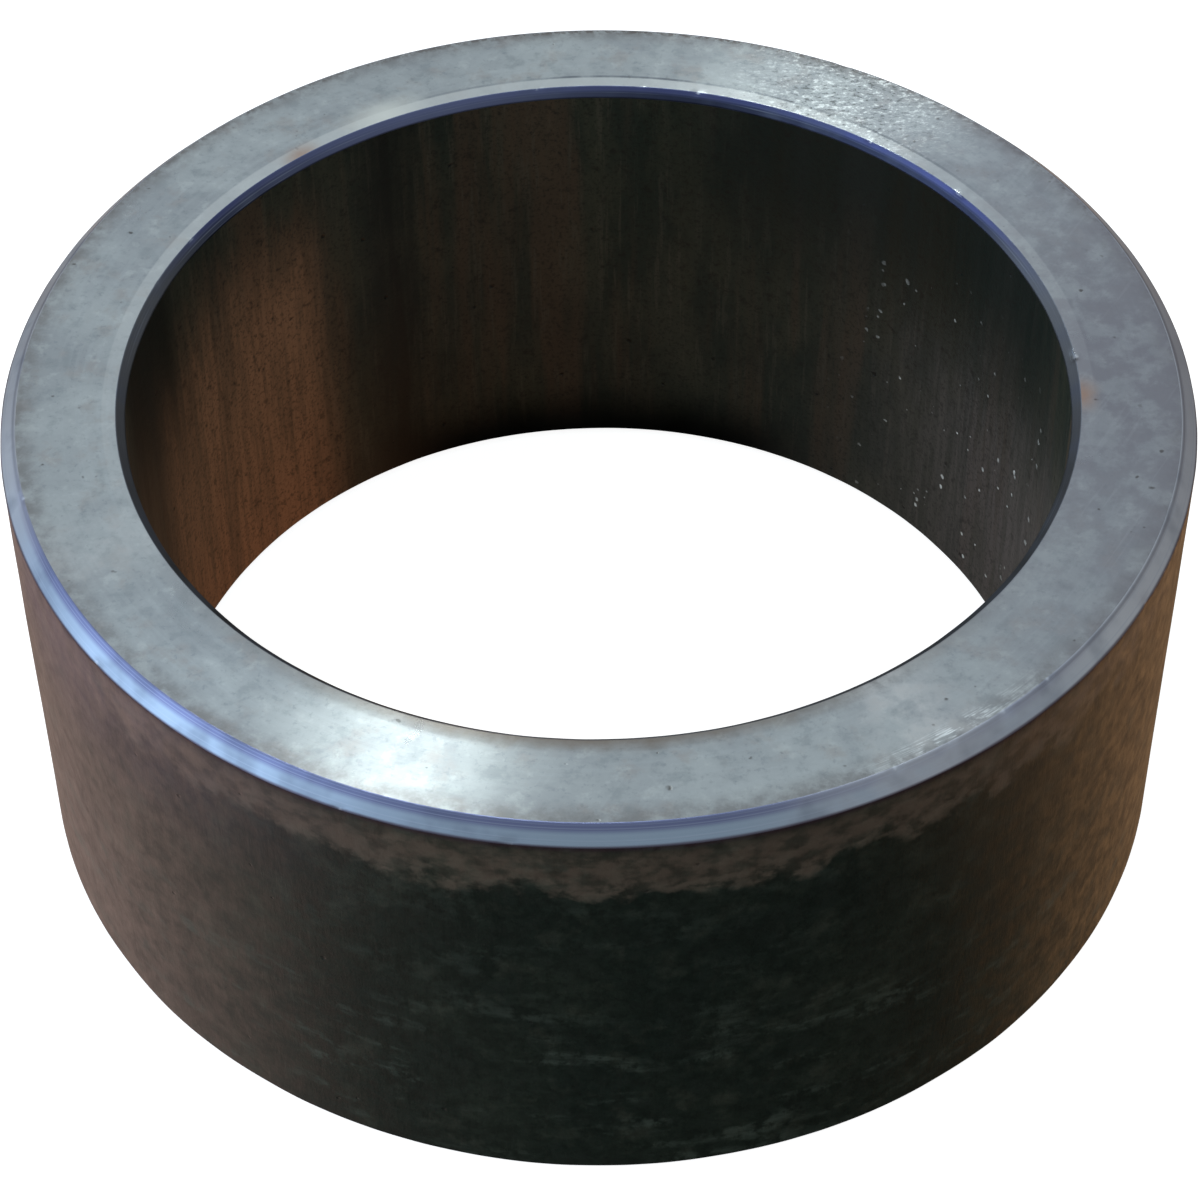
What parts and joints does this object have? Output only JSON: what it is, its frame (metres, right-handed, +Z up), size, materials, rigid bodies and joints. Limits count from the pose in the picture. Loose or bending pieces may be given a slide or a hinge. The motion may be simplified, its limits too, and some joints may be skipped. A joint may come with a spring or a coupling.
{
  "type": "spacer sleeve",
  "caption": "Plain round steel spacer sleeve cut from seamless tube, with faced ends and chamfered edges, to hold two parts a set distance apart on a shaft or bolt.",
  "frame": {"origin": "centre of the bottom end face, on the bore's axis", "axes": "+Z up along the bore; the sleeve is round about Z and alike end for end"},
  "size_m": [0.0604, 0.0602, 0.026],
  "materials": {
    "steel": "turned end faces, dark mill skin outside and in the bore"
  },
  "bodies": {
    "root": {"spacer_sleeve": "steel"}
  },
  "joints": []
}
